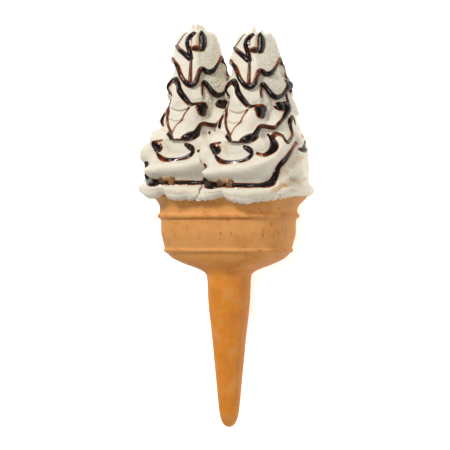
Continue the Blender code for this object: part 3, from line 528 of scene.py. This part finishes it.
def unrolled(line, on_front):
    """A line as (arc, height, any width) on the unrolled swirl, and the radius it is unrolled by."""
    points = np.array(line, dtype=float)
    radius = smooth_curve(ENVELOPE, points[:, 1].mean())
    if on_front:
        share = points[:, 0] / smooth_curve(ENVELOPE, points[:, 1])
        points[:, 0] = np.arcsin(np.clip(share, -0.98, 0.98)) * radius
    else:
        points[:, 0] = np.radians(points[:, 0]) * radius
    return points, radius


def beside(path, radius, angle, height, reach):
    """How the points near a path lie to it.

    Gives which points are within reach, and for those their distance, their side, the path's
    own values beside them and how far they are past either end.
    """
    middle = path[:, 0].mean() / radius
    arc = ((angle - middle + math.pi) % (2 * math.pi) - math.pi + middle) * radius
    low, high = path[:, :2].min(axis=0) - reach, path[:, :2].max(axis=0) + reach
    near = (arc > low[0]) & (arc < high[0]) & (height > low[1]) & (height < high[1])
    x, y = arc[near], height[near]
    best = np.full(x.shape, 1e9)
    side = np.zeros(x.shape)
    past = np.zeros(x.shape)
    value = np.zeros(x.shape)
    for i, (a, b) in enumerate(zip(path[:-1], path[1:])):
        run = b[:2] - a[:2]
        length = np.hypot(*run) + 1e-9
        along = ((x - a[0]) * run[0] + (y - a[1]) * run[1]) / length
        inside = np.clip(along, 0.0, length)
        away = np.hypot(x - a[0] - inside * run[0] / length, y - a[1] - inside * run[1] / length)
        beyond = np.zeros(x.shape)
        if i == 0:
            beyond = np.maximum(beyond, -along)
        if i == len(path) - 2:
            beyond = np.maximum(beyond, along - length)
        nearer = away < best
        best = np.where(nearer, away, best)
        side = np.where(nearer, np.sign(run[0] * (y - a[1]) - run[1] * (x - a[0])), side)
        past = np.where(nearer, beyond, past)
        value = np.where(nearer, a[-1] + (b[-1] - a[-1]) * inside / length, value)
    return near, best, side, value, past


def lump(angle, height, middle, level, half_width, half_height):
    """Share of one round lump, from 0 outside it to 1 in its middle."""
    radius = smooth_curve(ENVELOPE, level)
    away = ((angle - middle + math.pi) % (2 * math.pi) - math.pi) * radius
    q = (away / half_width) ** 2 + ((height - level) / half_height) ** 2
    return np.exp(-q ** 1.5 * 0.8)


def front_angle(sideways, height):
    return math.asin(np.clip(sideways / smooth_curve(ENVELOPE, height), -0.98, 0.98))


def folded_radius(angle, height):
    """Radius of a swirl, with all its folds, lumps and hollows."""
    body = smooth_curve(ENVELOPE, height)
    total = np.zeros(height.shape)
    for line, on_front, rise, above, below, step in RELIEF:
        path, radius = unrolled(line, on_front)
        path = through(path, 1.2)
        near, away, side, _, past = beside(path, radius, angle, height, 16.0)
        reach = np.where(side > 0, above, below)
        if step:
            shape = side * np.tanh(away / 0.4) * np.exp(-away / reach)
        else:
            shape = np.exp(-(away / reach) ** 2)
        total[near] += rise * shape * np.exp(-(past / 3.0) ** 2)
    for sideways, level, half_width, half_height, rise in LUMPS:
        middle = front_angle(sideways, level)
        total += rise * lump(angle, height, middle, level, half_width, half_height)
    for degrees, level, half_width, half_height, rise in ROUND_LUMPS:
        total += rise * lump(angle, height, math.radians(degrees), level, half_width, half_height)
    return np.maximum(body + total * np.clip(body / 9.0, 0.0, 1.0), 0.0)


def to_rim(centre_x, angle):
    """Distance from a swirl's axis to the wafer's rim, at each angle from the front."""
    rim = cup_ring(RIM_RADIUS, CUP_HALF_SPAN, np.linspace(0, 2 * math.pi, 160, endpoint=False))
    directions = np.arctan2(rim[:, 0] - centre_x, rim[:, 1])
    order = np.argsort(directions)
    reach = np.hypot(rim[:, 0] - centre_x, rim[:, 1])[order]
    return np.interp(angle + FACING, directions[order], reach, period=2 * math.pi) + FIT_GAP


def turned(radius, angle, height, centre_x):
    """Points round a swirl's axis, as points of the cone."""
    side, ahead = radius * np.sin(angle), radius * np.cos(angle)
    x = centre_x + side * math.cos(FACING) + ahead * math.sin(FACING)
    z = ahead * math.cos(FACING) - side * math.sin(FACING)
    return np.stack([x, height + 0 * radius, np.maximum(z, FLOOR_LEVEL)], axis=-1)


def swirl_form(centre_x, lift, peaks, seed):
    """Radius and height of each point of one swirl, from its skirt to its tip."""
    rim = to_rim(centre_x, angle)
    wider = np.clip(rim + SKIRT_OVERHANG - SKIRT_RADIUS, 0.0, SKIRT_WIDEST)
    wider *= 1.0 - smooth_step((rim - 34.0) / 6.0)
    for middle, half_width, further in LEFT_HANGS if centre_x < 0 else RIGHT_HANGS:
        wider += further * np.exp(-((np.degrees(angle) - middle) / half_width) ** 2)
    hangs = smooth_step((SKIRT_RADIUS + wider - rim) / 2.0)
    round_rim = np.stack([angle * SKIRT_RADIUS, 0 * angle, 0 * angle], axis=-1)
    ragged = 0.45 * cloud(round_rim, 4.6, seed) + 0.55 * cloud(round_rim, 1.5, seed + 1)
    from_front = np.degrees((angle + math.pi) % (2 * math.pi) - math.pi)
    edge = smooth_curve(SKIRT_EDGE, from_front) + EDGE_ROUND + ragged + lift
    edge = UNDERSIDE + HEM + (edge - UNDERSIDE - HEM) * hangs
    near_edge = 1.0 - smooth_step((levels - LOWEST_LEVEL) / SKIRT_BLEND)
    height = levels + lift + (edge - lift - LOWEST_LEVEL) * near_edge
    radius = fold + wider * near_edge
    for middle, level, half_width, half_height, rise in LEFT_NOTCHES if centre_x < 0 else ():
        notch = lump(angle, levels, math.radians(middle), level, half_width, half_height)
        radius = radius + rise * notch
    radius = np.where(height < UNDERSIDE, np.maximum(radius, rim + 0.7), radius)
    side, ahead = radius * np.sin(angle), radius * np.cos(angle)
    top = smooth_step((levels - PEAKS_FROM) / 5.0)
    for across, forward, reach, rise in peaks:
        q = (side - across) ** 2 + (ahead - forward) ** 2
        height = height + rise * top * np.exp(-(q / reach ** 2) ** 0.8)
    return radius, height, edge, rim


def flaky_share(height, start, half_angle, half_height, share):
    """How flaky the cream is: on the upper right of the front and in a patch above the skirt."""
    upper = smooth_step((angle + 0.1) / 0.5) * smooth_step((height - start) / 8)
    patch = np.exp(-((angle - 0.75) / half_angle) ** 2 - ((height - 10) / half_height) ** 2)
    return upper + share * patch


def grained(radius, height, quiet, seed):
    """Radius with the grain of frozen cream, which is coarser where the cream is flaky."""
    place = np.stack([angle * 20 + 0 * height, height * 1.3 + 6 * np.sin(angle), radius], axis=-1)
    flaky = flaky_share(height, 45, 0.35, 13, 0.7)
    coarse = 0.22 * cloud(place, 5.0, seed) + 0.10 * cloud(place, 2.3, seed + 1)
    fine = (0.06 + 0.17 * flaky) * cloud(place, 1.2, seed + 2)
    fine += (0.04 + 0.12 * flaky) * cloud(place, 0.75, seed + 3)
    return radius + (coarse + fine) * (1.0 - quiet) * np.clip(radius / 9.0, 0.0, 1.0)


def tip_point(points):
    return points[-1].mean(axis=0) + (0.0, 0.2, 0.0)


def joined(first, second):
    """The larger of two thicknesses, eased where they meet."""
    share = np.clip(0.5 + (second - first) / 0.5, 0.0, 1.0)
    return first + (second - first) * share + 0.25 * share * (1.0 - share)


def poured(angle, height):
    """Thickness of the sauce at each point, below 0 where there is none."""
    thickness = np.full(height.shape, -1.0)
    for on_front, lines in ((True, FRONT_SAUCE), (False, BACK_SAUCE)):
        for line in lines:
            path, radius = unrolled(line, on_front)
            path = through(path, 0.7)
            near, away, _, half, _ = beside(path, radius, angle, height, 3.5)
            half = half * SAUCE_WIDER
            bead = SAUCE_SHARE * half * (1.0 - (away / half) ** 2)
            thickness[near] = joined(thickness[near], np.maximum(bead, -1.0))
    for sideways, level, half_width, half_height, rise, lean in DROPS:
        middle, slant = front_angle(sideways, level), math.radians(lean)
        radius = smooth_curve(ENVELOPE, level) * math.cos(middle)
        x = ((angle - middle + math.pi) % (2 * math.pi) - math.pi) * radius
        y = height - level
        u = (x * math.cos(slant) + y * math.sin(slant)) / half_width
        v = (y * math.cos(slant) - x * math.sin(slant)) / half_height
        thickness = joined(thickness, np.maximum(rise * (1.0 - u * u - v * v), -1.0))
    return thickness


def lookup(table, angles, angle, height):
    """Value of a table whose rows are heights and whose columns are the swirl's angles."""
    columns = np.unwrap(angles)
    a = (angle - columns[0]) % (2 * math.pi) + columns[0]
    col = np.interp(a, columns, np.arange(len(columns)))
    row = np.clip((height - TABLE_LOW) / TABLE_STEP, 0, table.shape[0] - 1.001)
    i, j = np.floor(row).astype(int), np.floor(col).astype(int)
    f, g = row - i, col - j
    k = (j + 1) % table.shape[1]
    low = table[i, j] * (1 - g) + table[i, k] * g
    high = table[i + 1, j] * (1 - g) + table[i + 1, k] * g
    return low * (1 - f) + high * f


def kept_clear(radius, height, centre_x):
    """Radius of the left swirl, cut back where the right one is in the way."""
    best = radius.copy()
    for start in range(0, radius.shape[0], 24):
        rows = slice(start, start + 24)
        r, h = radius[rows], np.broadcast_to(height[rows], radius[rows].shape)
        share = np.linspace(0.1, 1.0, CUT_STEPS)[:, None, None]
        p = turned(r * share, angle, h, centre_x)
        dx, dz = p[..., 0] - RIGHT_SWIRL_X, p[..., 2]
        there = lookup(right_table, angle[0], np.arctan2(dx, dz) - FACING, h + 0 * share)
        depth = there + TOUCHING - np.hypot(dx, dz)
        hit = depth > 0
        first = np.argmax(hit, axis=0)
        found = hit.any(axis=0)
        before = np.maximum(first - 1, 0)
        take = np.ix_(*map(np.arange, r.shape))
        d1 = depth[first, take[0], take[1]]
        d0 = depth[before, take[0], take[1]]
        cut = share[before, 0, 0] + (share[first, 0, 0] - share[before, 0, 0]) * np.where(
            first > 0, -d0 / np.maximum(d1 - d0, 1e-6), 0.0)
        best[rows] = np.where(found, r * cut, r)
    for _ in range(OVERLAP_COLUMNS):
        beside_it = np.maximum(np.roll(best, 1, axis=1), np.roll(best, -1, axis=1))
        best = np.minimum(np.maximum(best, beside_it), radius)
    return best


front_turn = np.linspace(-105.0, 105.0, 230, endpoint=False)
back_turn = np.linspace(105.0, 255.0, 95, endpoint=False)
angle = np.radians(np.concatenate([front_turn, back_turn]))[None, :]
levels = np.concatenate([np.linspace(LOWEST_LEVEL, 84.0, 262, endpoint=False),
                         84.0 + 5.28 * np.sin(np.linspace(0, math.pi / 2, 28))])[:, None]
fold = folded_radius(angle + 0 * levels, levels + 0 * angle)

thick = poured(angle + 0 * levels, levels + 0 * angle)
quiet = smooth_step((thick + 0.5) / 0.5)
swirls = {}
for side, (centre_x, lift, peaks, seed) in SWIRLS.items():
    radius, height, edge, rim = swirl_form(centre_x, lift, peaks, seed)
    radius = grained(radius, height, quiet, seed + 5)
    covered = np.zeros(radius.shape)
    if side == "left":
        clear = kept_clear(radius, height, centre_x)
        covered = radius - clear
        radius = clear
    inner = np.minimum(rim, radius[:1] - 0.5)
    plug = np.full(angle.shape, PLUG_RADIUS)
    below = [turned(plug, angle, np.full(angle.shape, -PLUG_DEPTH), centre_x),
             turned(plug, angle, np.full(angle.shape, UNDERSIDE), centre_x),
             turned(inner, angle, np.full(angle.shape, UNDERSIDE), centre_x),
             turned(inner, angle, edge + EDGE_ROUND, centre_x)]
    points = turned(radius, angle, height, centre_x)
    body = grid_mesh("swirl_" + side, np.vstack(below + [points]),
                     ((centre_x, -PLUG_DEPTH, 0), tip_point(points)))
    swirls[side] = (body, points, height, covered)
    if side == "right":
        outer = radius + np.maximum(thick, 0.0)
        grid = np.arange(TABLE_LOW, TABLE_HIGH, TABLE_STEP)
        right_table = np.array([np.interp(grid, height[:, j], outer[:, j], 0.0, 0.0)
                                for j in range(radius.shape[1])]).T

tint = np.zeros(fold.shape)
for strength, reach, line in STREAKS:
    path, radius = unrolled(line, True)
    near, away, _, _, _ = beside(through(path, 1.0), radius, angle + 0 * levels, levels + 0 * angle, 6)
    tint[near] = np.maximum(tint[near], strength * np.exp(-(away / reach) ** 2))
flaky = flaky_share(levels, 40, 0.4, 14, 1.0)

cream = Finish("vanilla_ice_cream", Roughness=0.5, IOR=1.35, Specular_IOR_Level=0.35,
               Subsurface_Weight=0.3, Subsurface_Radius=(0.0012, 0.0009, 0.0006),
               Subsurface_Scale=1.0)
flakes = cream.noted("flaky")
grain = cream.noise(0.8, 3.0)
drifts = cream.noise(7.0, 2.0)
shade = cream.blend(drifts.between(0.35, 0.65) * 0.5, colour(238, 230, 212), colour(234, 224, 201))
specks = cream.noise(0.95, 2.0).between(0.56, 0.70) * (0.18 + 0.5 * flakes)
shade = cream.blend(specks, shade, colour(232, 208, 168))
stained = cream.noted("tint") * (0.25 + 0.75 * cream.noise(1.1, 3.0).between(0.34, 0.62))
shade = cream.blend(stained, shade, colour(232, 178, 100))
cream.feed("Base Color", shade)
cream.feed("Roughness", 0.42 + 0.25 * grain)
cream.bump(grain * (0.9 + 2.6 * flakes) + cream.noise(2.4, 3.0) * 0.9, 0.32)

for side, (body, points, height, covered) in swirls.items():
    lead = np.zeros((4, tint.shape[1]))
    note(body, "tint", np.vstack([lead, tint]))
    note(body, "flaky", np.vstack([lead, flaky]))
    cream.on(body)
    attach(body, "root")
    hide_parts("ice_cream_" + side)


# Chocolate sauce
# Dark, glossy sauce that was poured in zigzags while it was warm. It lies in the folds as
# thick lines, runs down from them as thin amber drips and gathers in drops and pools.
EDGE_BELOW = -0.35
TOP_OF_SAUCE = 88.2
# Stretches where the sauce is thin enough to look brown: sideways, height and reach
BROWN = ((-0.5, 79.6, 3.4), (-9.6, 78.8, 3.0), (-12.4, 72.6, 3.0), (-10.0, 67.0, 3.5),
         (-3.4, 65.0, 6.0), (-7.0, 42.5, 5.5), (-11.5, 36.0, 5.0), (1.4, 67.6, 2.6),
         (10.8, 72.8, 3.0), (-14.6, 61.0, 2.6), (2.8, 58.0, 3.0), (17.0, 55.0, 3.5),
         (-16.4, 43.0, 4.0), (-16.4, 36.0, 4.0), (3.6, 37.8, 3.0), (9.0, 37.2, 3.0),
         (13.0, 40.6, 2.4), (1.6, 48.8, 1.6), (10.4, 33.4, 2.4), (3.6, 22.0, 3.0),
         (19.4, 32.6, 3.0), (18.4, 42.4, 2.4), (-20.0, 28.6, 2.2), (-24.2, 26.6, 1.1),
         (-5.8, 26.0, 1.8), (-19.4, 18.6, 2.4), (23.4, 27.8, 3.0))


def browned(angle, height):
    """How brown the sauce is at each point, from 0 to 1."""
    total = np.zeros(height.shape)
    for sideways, level, reach in BROWN:
        away = ((angle - front_angle(sideways, level) + math.pi) % (2 * math.pi) - math.pi)
        across = away * smooth_curve(ENVELOPE, level)
        total = np.maximum(total, np.exp(-((across ** 2 + (height - level) ** 2) / reach ** 2) ** 2))
    return total


def finer(grid):
    """A grid that closes round, with one more point between each two."""
    wide = np.repeat(grid, 2, axis=1)
    wide[:, 1::2] = (grid + np.roll(grid, -1, axis=1)) / 2
    tall = np.empty((2 * len(grid) - 1, *wide.shape[1:]))
    tall[::2] = wide
    tall[1::2] = (wide[:-1] + wide[1:]) / 2
    return tall


def outward(points):
    """Outward direction at each point of a grid."""
    across = np.roll(points, -1, axis=1) - np.roll(points, 1, axis=1)
    up = np.gradient(points, axis=0)
    normal = np.cross(across, up)
    return normal / np.maximum(np.linalg.norm(normal, axis=-1, keepdims=True), 1e-9)


def sauce_piece(name, points, thickness, brown):
    """A skin of sauce over a grid of points, cut where it has run out."""
    normal = outward(points)
    for _ in range(6):
        normal[1:-1] = (normal[:-2] + 2 * normal[1:-1] + normal[2:]) / 4
        normal = (np.roll(normal, 1, axis=1) + 2 * normal + np.roll(normal, -1, axis=1)) / 4
    skin = points + normal * np.maximum(thickness, EDGE_BELOW)[..., None]
    skin[..., 2] = np.maximum(skin[..., 2], FLOOR_LEVEL + 0.01)
    rows, sides = thickness.shape
    index = np.arange(rows * sides).reshape(rows, sides)
    next_side = np.roll(index, -1, axis=1)
    quads = np.stack([index[:-1], index[1:], next_side[1:], next_side[:-1]], axis=-1)
    wet = np.maximum(thickness, np.roll(thickness, -1, axis=1))
    wet = np.maximum(wet[:-1], wet[1:]) > EDGE_BELOW
    quads = quads[wet]
    used, renumbered = np.unique(quads, return_inverse=True)
    mesh = bpy.data.meshes.new(name)
    mesh.from_pydata(from_cone(skin.reshape(-1, 3)[used]).tolist(), [],
                     renumbered.reshape(-1, 4).tolist())
    mesh.shade_smooth()
    piece = bpy.data.objects.new(name, mesh)
    bpy.context.scene.collection.objects.link(piece)
    note(piece, "thickness", np.maximum(thickness, 0.0).reshape(-1)[used])
    note(piece, "brown", brown.reshape(-1)[used])
    return piece


fine_angle = finer(np.unwrap(angle + 0 * levels, axis=1))
fine_angle[:, -1] = (fine_angle[:, -2] + fine_angle[:, 0] + 2 * math.pi) / 2
fine_levels = finer(levels + 0 * angle)
fine_thick = poured(fine_angle, fine_levels)
fine_thick -= 4.0 * np.clip(fine_levels - TOP_OF_SAUCE, 0.0, None)
fine_brown = browned(fine_angle, fine_levels)

sauced = Finish("chocolate_sauce", Roughness=0.12, IOR=1.45, Specular_IOR_Level=0.5)
depth = sauced.noted("thickness") * (0.75 + 0.55 * sauced.noise(5.0, 2.0).between(0.36, 0.60))
depth = depth * (1.0 - 0.62 * sauced.noted("brown"))
tone = sauced.blend(depth.between(0.03, 0.30), colour(184, 108, 46), colour(88, 36, 16))
tone = sauced.blend(depth.between(0.30, 0.76), tone, colour(18, 10, 7))
sauced.feed("Base Color", tone)
sauced.feed("Roughness", 0.04 + 0.08 * sauced.noise(1.4, 2.0))
sauced.bump(sauced.noise(2.6, 2.0) + 0.35 * sauced.noise(0.9, 2.0), 0.25)

for side, (body, points, height, covered) in swirls.items():
    run_out = finer(np.where(covered > 0.02, 3.0 * covered + 0.6, 0.0))
    sauce = sauce_piece("sauce_" + side, finer(points), fine_thick - run_out, fine_brown)
    sauced.on(sauce)
    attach(sauce, "root")
    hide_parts("ice_cream_" + side)


# Nut halves
# Two roasted hazelnut halves stand in the pool of sauce at the foot of each swirl. Their
# papery skin has rubbed off in places and shows the pale nut.
NUT_DOME = 2.6
NUT_SUNK = 0.6
# Sideways, height, half width, half height and lean in degrees
NUTS = ((-19.7, 7.3, 2.7, 3.8, -40.0), (-14.9, 7.1, 2.7, 3.8, 40.0))


def nut_half(name, middle, ahead, half_width, half_height, lean):
    """A domed nut half that leans sideways by an angle, with a blunt tip."""
    turn = np.linspace(0, 2 * math.pi, 48, endpoint=False)[None, :]
    rise = np.linspace(-0.5, math.pi / 2 - 0.02, 30)[:, None]
    width = np.cos(rise) * (1.0 + 0.12 * np.sin(2 * turn))
    dome = np.stack([width * np.cos(turn) * half_width,
                     width * np.sin(turn) * half_height * (1.0 + 0.16 * np.sin(turn)),
                     np.sin(rise) * NUT_DOME + 0 * turn], axis=-1)
    dome *= 1.0 + 0.05 * cloud(dome + 50.0, 1.1, 7)[..., None] + 0.03 * cloud(dome, 0.5, 8)[..., None]
    slant = math.radians(lean)
    sideways = dome[..., 0] * math.cos(slant) - dome[..., 1] * math.sin(slant)
    up = dome[..., 0] * math.sin(slant) + dome[..., 1] * math.cos(slant)
    facing = Vector(ahead)
    right = Vector((0, 1, 0)).cross(facing).normalized()
    upward = facing.cross(right)
    points = (np.array(middle) + sideways[..., None] * np.array(right)
              + up[..., None] * np.array(upward) + dome[..., 2:] * np.array(facing))
    nut = grid_mesh(name, points, (points[0].mean(axis=0), points[-1].mean(axis=0)))
    note(nut, "bare", smooth_step(0.3 + dome[..., 1] / half_height * 0.9))
    note(nut, "warm", np.full(width.shape, float(lean > 0)))
    return nut


skin = Finish("roasted_nut", Roughness=0.5, IOR=1.45, Specular_IOR_Level=0.4,
              Subsurface_Weight=0.15, Subsurface_Radius=(0.001, 0.0006, 0.0003),
              Subsurface_Scale=1.0)
rubbed = (skin.noted("bare") * 0.9 + skin.noise(1.6, 3.0) - 0.5).between(0.30, 0.85)
papery = skin.blend(skin.noted("warm"), colour(116, 86, 65), colour(164, 112, 58))
toned = skin.blend(skin.noise(0.9, 3.0).between(0.40, 0.66), papery, colour(96, 62, 40))
toned = skin.blend(rubbed * 0.85, toned, colour(198, 164, 120))
skin.feed("Base Color", toned)
skin.feed("Roughness", 0.42 + 0.2 * rubbed)
skin.bump(skin.noise(0.6, 3.0, (1.0, 0.35, 1.0)), 0.2)
for side, (body, points, height, covered) in swirls.items():
    lift = SWIRLS[side][1]
    for count, (sideways, level, half_width, half_height, lean) in enumerate(NUTS):
        column = int(np.argmin(np.abs(angle[0] - front_angle(sideways, level))))
        row = int(np.argmin(np.abs(height[:, column] - level - lift)))
        spot = points[row, column]
        ahead = outward(points)[row, column] * (1, 0.2, 1)
        ahead = ahead / np.linalg.norm(ahead)
        nut = nut_half(f"nut_{side}_{count}", spot - ahead * NUT_SUNK, ahead, half_width, half_height,
                       lean)
        skin.on(nut)
        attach(nut, "root")
        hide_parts("ice_cream_" + side)


# Studio
# A plain white table that the cone lies on, a soft light from above the tips, a wide fill and a
# small light by the camera that makes the sauce glint. The camera looks down on the cone's front.
bpy.ops.mesh.primitive_plane_add(size=6.0)
table_top = bpy.context.object
table_top.name = "table_top"
paper = Finish("white_paper", Roughness=0.85, Specular_IOR_Level=0.1,
               Emission_Color=(1.0, 1.0, 1.0, 1.0), Emission_Strength=0.76)
paper.feed("Base Color", paper.blend(paper.noise(40.0, 2.0), (0.77, 0.77, 0.77, 1.0),
                                     (0.80, 0.80, 0.80, 1.0)))
paper.on(table_top)


def softbox(name, place, aim, size, power):
    """A square area light that looks at a point."""
    light = bpy.data.lights.new(name, "AREA")
    light.size = size
    light.energy = power
    lamp = bpy.data.objects.new(name, light)
    bpy.context.scene.collection.objects.link(lamp)
    lamp.location = place
    lamp.rotation_mode = "QUATERNION"
    lamp.rotation_quaternion = (Vector(aim) - Vector(place)).to_track_quat("-Z", "Y")


softbox("key", (-0.42, 0.98, 1.20), (0.0, 0.02, 0.03), 0.36, 15.6)
softbox("glint", (0.52, 0.14, 1.30), (0.0, 0.02, 0.03), 0.20, 3.0)
softbox("fill", (0.6, -0.3, 1.5), (0.0, 0.0, 0.03), 0.5, 2.8)
world = bpy.data.worlds.new("studio")
world.use_nodes = True
background = world.node_tree.nodes["Background"]
background.inputs["Color"].default_value = (1.0, 1.0, 1.0, 1.0)
background.inputs["Strength"].default_value = 0.18
bpy.context.scene.world = world
bpy.context.scene.view_settings.view_transform = "Standard"
bpy.context.scene.view_settings.look = "None"

# The picture's middle on the cone, then the camera's place in metres
MIDDLE_LEVEL = -16.06
MIDDLE_SHIFT = 0.00275
CAMERA_AWAY = 2.75
VIEW_SIDE = 0.2475
towards = Vector((math.sin(FACING), 0.0, math.cos(FACING)))
to_right = Vector((math.cos(FACING), 0.0, -math.sin(FACING)))
middle = Vector(from_cone((0.0, MIDDLE_LEVEL, 0.0))) - MIDDLE_SHIFT * to_right
lens = bpy.data.cameras.new("camera")
lens.sensor_width = 36.0
lens.lens = 36.0 * CAMERA_AWAY / VIEW_SIDE
lens.clip_end = 20.0
camera = bpy.data.objects.new("camera", lens)
bpy.context.scene.collection.objects.link(camera)
facing = Matrix((to_right, Vector((0, 1, 0)), towards)).transposed()
camera.matrix_world = Matrix.Translation(middle + towards * CAMERA_AWAY) @ facing.to_4x4()
bpy.context.scene.camera = camera
